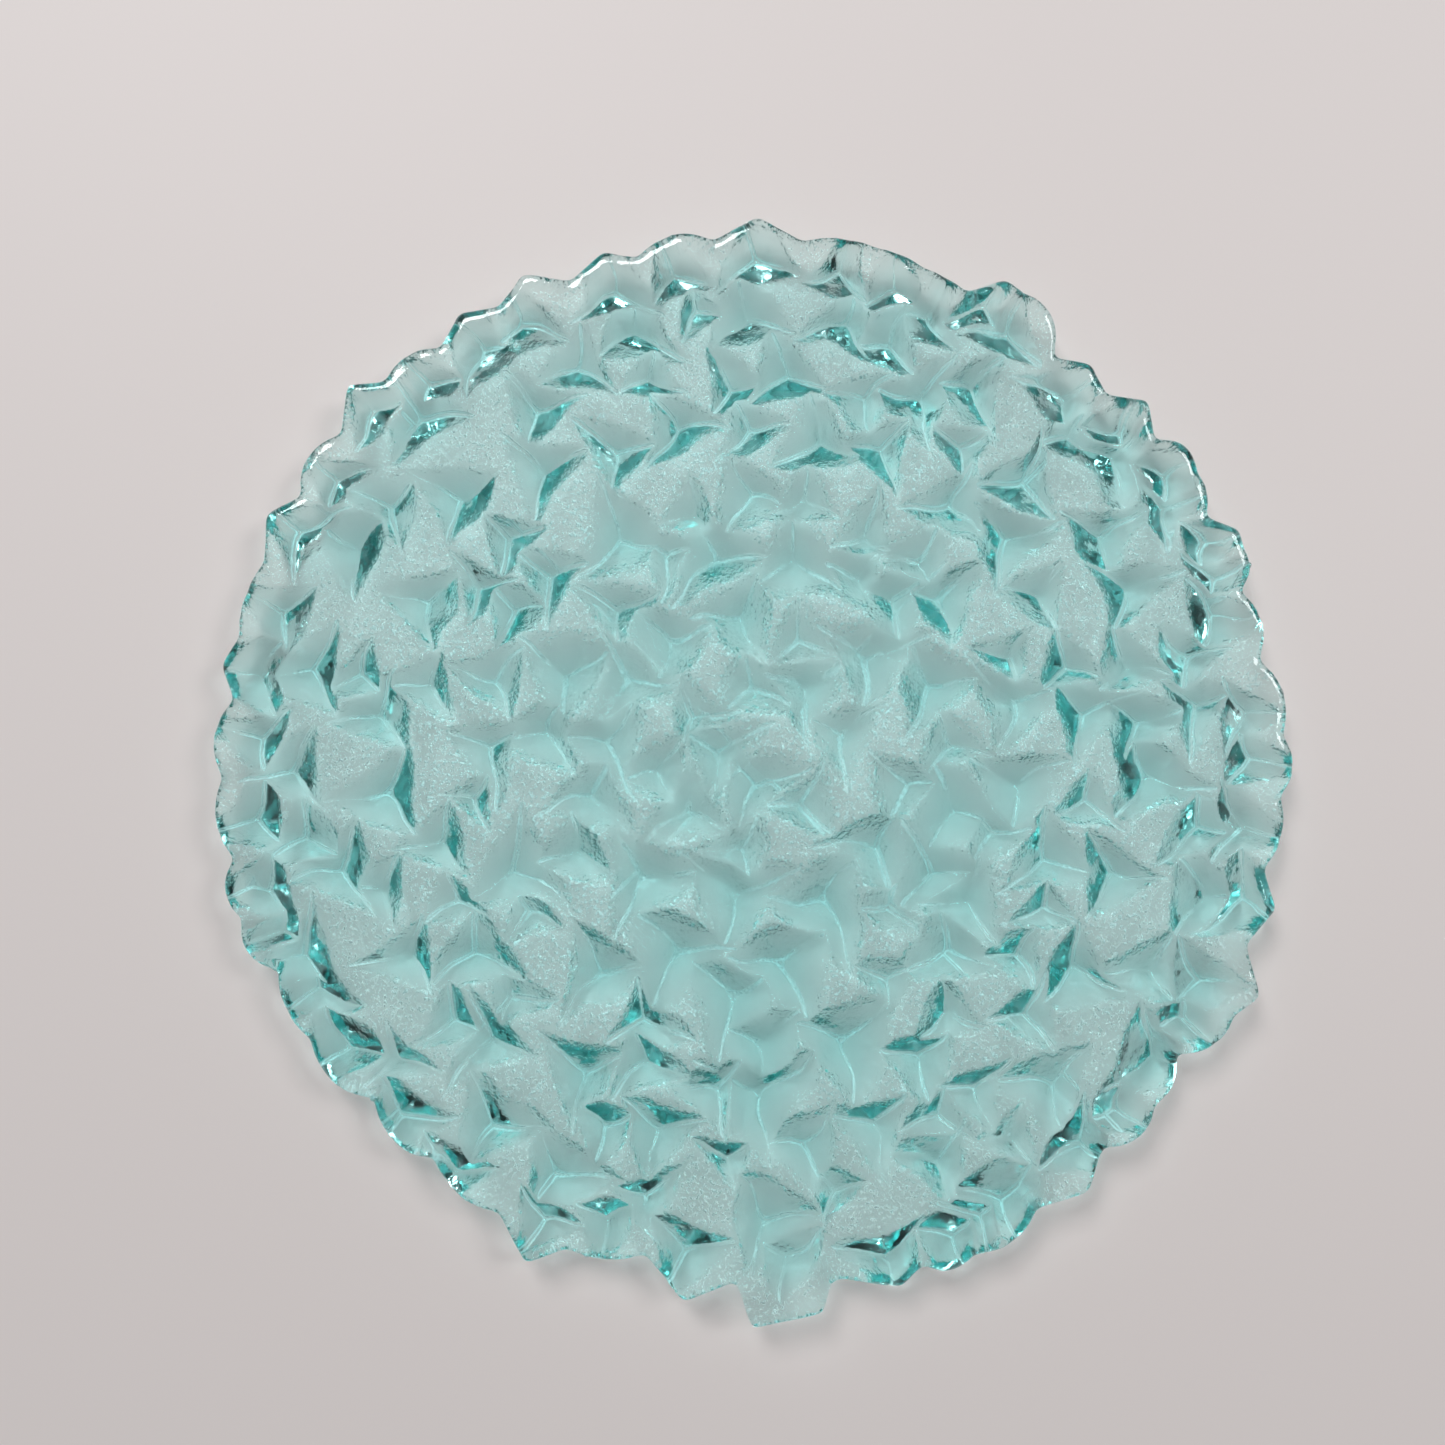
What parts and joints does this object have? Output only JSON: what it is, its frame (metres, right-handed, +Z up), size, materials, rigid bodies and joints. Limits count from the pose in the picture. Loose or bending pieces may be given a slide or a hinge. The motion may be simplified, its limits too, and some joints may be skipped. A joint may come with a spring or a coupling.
{
  "type": "glass platter",
  "caption": "Round flat platter of clear aqua glass with a smooth top, an irregular toothed rim and a crushed-ice relief of peaks underneath, for serving or display.",
  "frame": {"origin": "on the table plane, under the middle of the platter, level with the ground tips it stands on", "axes": "+Z up out of the smooth top, -Y towards the user, where the broad square tooth of the rim is"},
  "size_m": [0.3353, 0.3447, 0.0156],
  "materials": {
    "aqua_glass": "gloss"
  },
  "bodies": {
    "root": {"glass_platter": "aqua_glass"}
  },
  "joints": []
}
